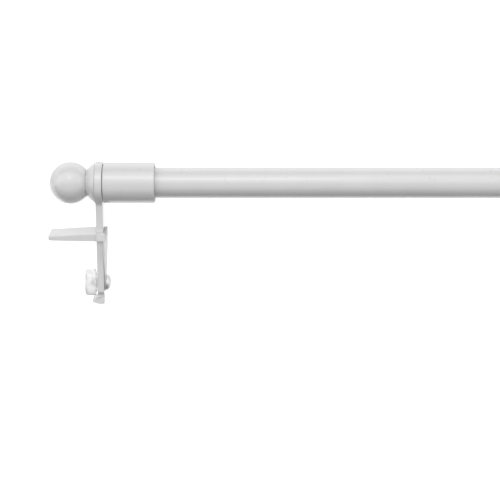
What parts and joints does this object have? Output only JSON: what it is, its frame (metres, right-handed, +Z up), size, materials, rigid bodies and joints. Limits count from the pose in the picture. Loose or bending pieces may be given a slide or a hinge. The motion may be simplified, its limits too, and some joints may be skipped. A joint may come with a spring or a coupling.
{
  "type": "curtain rod with brackets",
  "caption": "Telescopic curtain rod in white-painted tube, with a ball finial and a no-drill clamp bracket on each end: strip, hook, sliding jaw and soft pad.",
  "frame": {"origin": "corner of the left hook: the outer face of the left strip, at the top of its hook, on its middle plane", "axes": "+X along the rod from the left end to the right end, +Z up from the hooks to the rod, +Y to the back, away from the viewer"},
  "size_m": [0.4842, 0.0226, 0.0761],
  "materials": {
    "white_paint": "semi-gloss off-white powder coat on steel",
    "nylon": "satin natural-white nylon, slightly translucent",
    "insert": "satin light grey plastic",
    "zinc": "bright zinc plate",
    "silicone": "frosted clear soft plastic"
  },
  "bodies": {
    "left_bracket": {"left_bracket_strip": "white_paint"},
    "rod": {"outer_tube": "white_paint", "mouth_ring": "insert", "left_sleeve": "white_paint", "left_end_plug": "insert", "left_plug_nut": "zinc"},
    "rod_extension": {"inner_tube": "white_paint", "slide_bush": "insert", "reducer_bush": "insert", "right_sleeve": "white_paint", "right_end_plug": "insert", "right_plug_nut": "zinc"},
    "right_bracket": {"right_bracket_strip": "white_paint"},
    "left_jaw": {"left_jaw": "nylon"},
    "left_clamp_screw": {"left_clamp_screw": "zinc"},
    "left_buffer_pad": {"left_buffer_pad": "silicone"},
    "left_lock_washer": {"left_lock_washer": "zinc"},
    "left_finial": {"left_finial_ball": "white_paint", "left_finial_collar": "white_paint", "left_finial_stud": "zinc"},
    "right_jaw": {"right_jaw": "nylon"},
    "right_clamp_screw": {"right_clamp_screw": "zinc"},
    "right_buffer_pad": {"right_buffer_pad": "silicone"},
    "right_lock_washer": {"right_lock_washer": "zinc"},
    "right_finial": {"right_finial_ball": "white_paint", "right_finial_collar": "white_paint", "right_finial_stud": "zinc"}
  },
  "joints": [
    {"name": "left_bracket_swivel", "type": "hinge", "parent": "left_bracket", "child": "rod", "pos_m": [0, 0, 0.0614], "axis": [1, 0, 0], "continuous": true},
    {"name": "rod_extension_slide", "type": "slide", "parent": "rod", "child": "rod_extension", "axis": [1, 0, 0], "range_m": [0, 0.27]},
    {"name": "right_bracket_swivel", "type": "hinge", "parent": "rod_extension", "child": "right_bracket", "pos_m": [0.4321, 0, 0.0614], "axis": [1, 0, 0], "continuous": true},
    {"name": "left_jaw_slide", "type": "slide", "parent": "left_bracket", "child": "left_jaw", "axis": [0, 0, 1], "range_m": [0, 0.01]},
    {"name": "left_clamp_screw_turn", "type": "hinge", "parent": "left_jaw", "child": "left_clamp_screw", "pos_m": [0.0019, 0, 0.0072], "axis": [1, 0, 0], "range_deg": [0, 1081]},
    {"name": "left_buffer_pad_slide", "type": "slide", "parent": "left_jaw", "child": "left_buffer_pad", "axis": [-1, 0, 0], "range_m": [0, 0.0021]},
    {"name": "left_lock_washer_slide", "type": "slide", "parent": "rod", "child": "left_lock_washer", "axis": [-1, 0, 0], "range_m": [0, 0.0048]},
    {"name": "left_finial_turn", "type": "hinge", "parent": "left_lock_washer", "child": "left_finial", "pos_m": [0.0019, 0, 0.0614], "axis": [-1, 0, 0], "range_deg": [0, 2161]},
    {"name": "right_jaw_slide", "type": "slide", "parent": "right_bracket", "child": "right_jaw", "axis": [0, 0, 1], "range_m": [0, 0.01]},
    {"name": "right_clamp_screw_turn", "type": "hinge", "parent": "right_jaw", "child": "right_clamp_screw", "pos_m": [0.4321, 0, 0.0072], "axis": [-1, 0, 0], "range_deg": [0, 1081]},
    {"name": "right_buffer_pad_slide", "type": "slide", "parent": "right_jaw", "child": "right_buffer_pad", "axis": [1, 0, 0], "range_m": [0, 0.0021]},
    {"name": "right_lock_washer_slide", "type": "slide", "parent": "rod_extension", "child": "right_lock_washer", "axis": [1, 0, 0], "range_m": [0, 0.0048]},
    {"name": "right_finial_turn", "type": "hinge", "parent": "right_lock_washer", "child": "right_finial", "pos_m": [0.4321, 0, 0.0614], "axis": [1, 0, 0], "range_deg": [0, 2161]}
  ],
  "couplings": [
    {"joint": "left_clamp_screw_turn", "follows": "left_buffer_pad_slide", "rad_per_m": 8976},
    {"joint": "left_finial_turn", "follows": "left_lock_washer_slide", "rad_per_m": 7854},
    {"joint": "right_clamp_screw_turn", "follows": "right_buffer_pad_slide", "rad_per_m": 8976},
    {"joint": "right_finial_turn", "follows": "right_lock_washer_slide", "rad_per_m": 7854}
  ]
}
